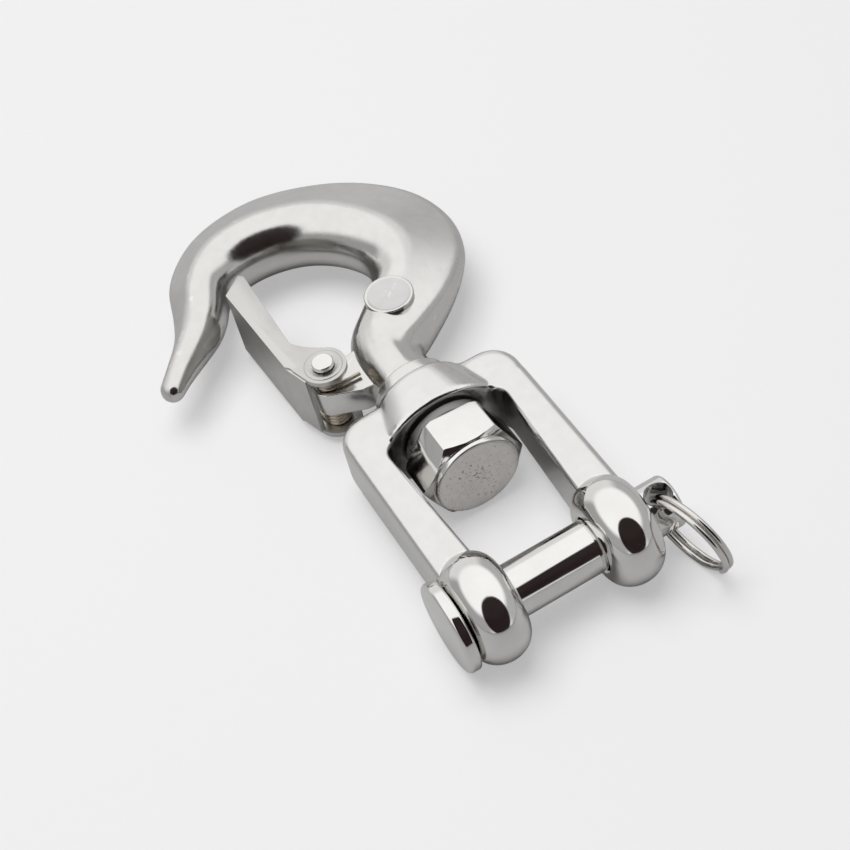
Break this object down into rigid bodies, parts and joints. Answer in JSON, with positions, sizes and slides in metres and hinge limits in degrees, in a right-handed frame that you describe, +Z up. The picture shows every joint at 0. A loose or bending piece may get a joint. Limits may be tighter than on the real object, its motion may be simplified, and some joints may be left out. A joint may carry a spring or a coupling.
{
  "type": "swivel jaw hook with latch",
  "caption": "Forged-style steel sling hook with a spring latch, turning on a bolt in a clevis jaw closed by a headed pin and split ring.",
  "frame": {"origin": "middle of the underside of the hook as it lies on its side", "axes": "+X along the swivel axis from the clevis pin to the hook, +Y towards the pin's head and the hook's mouth, +Z up"},
  "size_m": [0.1326, 0.0698, 0.0206],
  "materials": {
    "jaw_steel": "cast stainless steel, satin arms and collar with mirror polished ears",
    "pin_steel": "bright polished stainless steel",
    "ring_wire": "bright drawn wire",
    "bolt_steel": "polished flats, matt pitted end face",
    "washer_steel": "machined",
    "hook_steel": "cast stainless steel, electropolished to a satin shine",
    "latch_sheet": "pressed sheet, matt, bright at the cut edges",
    "rivet_steel": "bright headed pin",
    "spring_wire": "drawn spring wire with a faint straw tint"
  },
  "bodies": {
    "jaw": {"jaw": "jaw_steel"},
    "washer": {"thrust_washer": "washer_steel"},
    "hook": {"hook_body": "hook_steel", "swivel_bolt": "bolt_steel", "latch_spring": "spring_wire"},
    "latch": {"latch": "latch_sheet", "latch_rivet": "rivet_steel"},
    "pin": {"clevis_pin": "pin_steel"},
    "ring": {"split_ring": "ring_wire"}
  },
  "joints": [
    {"name": "hook_swivel", "type": "hinge", "parent": "jaw", "child": "hook", "pos_m": [-0.00354, -0.0059, 0.0103], "axis": [1, 0, 0], "continuous": true},
    {"name": "washer_turn", "type": "hinge", "parent": "hook", "child": "washer", "pos_m": [-0.01474, -0.0059, 0.0103], "axis": [1, 0, 0], "continuous": true},
    {"name": "latch_pivot", "type": "hinge", "parent": "hook", "child": "latch", "pos_m": [0.00886, 0.0069, 0.0103], "axis": [0, 0, 1], "range_deg": [-40, 0], "stiffness_Nm_per_rad": 0.03, "springref_deg": 34.38, "deforming": ["latch_spring"]},
    {"name": "pin_turn", "type": "hinge", "parent": "jaw", "child": "pin", "pos_m": [-0.05014, -0.0059, 0.0103], "axis": [0, 1, 0], "continuous": true},
    {"name": "ring_swing", "type": "hinge", "parent": "pin", "child": "ring", "pos_m": [-0.05014, -0.0278, 0.0103], "axis": [0.1736, 0, -0.9848], "range_deg": [-160, 11]}
  ]
}
